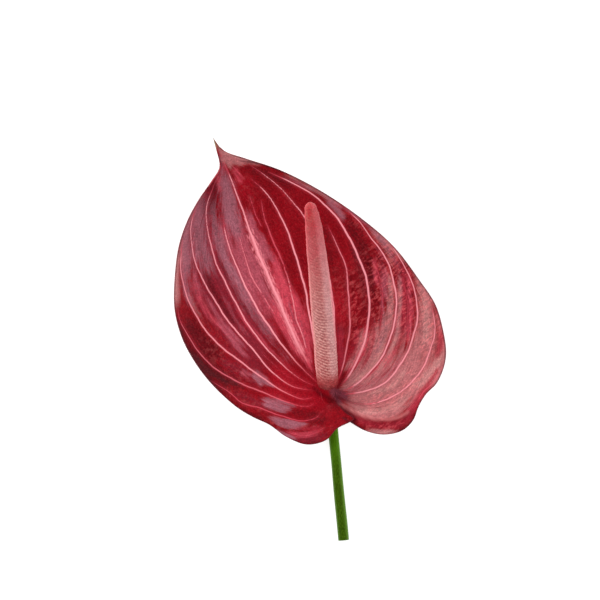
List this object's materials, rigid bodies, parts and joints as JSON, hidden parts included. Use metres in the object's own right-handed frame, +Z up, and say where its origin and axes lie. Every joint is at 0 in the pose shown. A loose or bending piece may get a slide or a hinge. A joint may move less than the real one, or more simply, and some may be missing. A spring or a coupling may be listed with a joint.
{
  "type": "anthurium flower",
  "caption": "Cut anthurium lying face up: a heart-shaped, veined red blade with a drip tip, a tapering spike standing over it and a short green stem.",
  "frame": {"origin": "on the surface the flower lies on, under the middle of its bounding box", "axes": "+Y along the flower's length towards the drip tip, +Z up, the face of the red blade looks up"},
  "size_m": [0.1089, 0.1614, 0.0414],
  "materials": {
    "stem": "smooth fresh green plant skin, faintly ridged lengthwise",
    "spathe": "waxy, glossy deep red blade with paler pink veins",
    "spadix": "matte pink, covered with tiny four-sided florets"
  },
  "bodies": {
    "root": {"stem": "stem", "spathe": "spathe", "spadix": "spadix"}
  },
  "joints": []
}
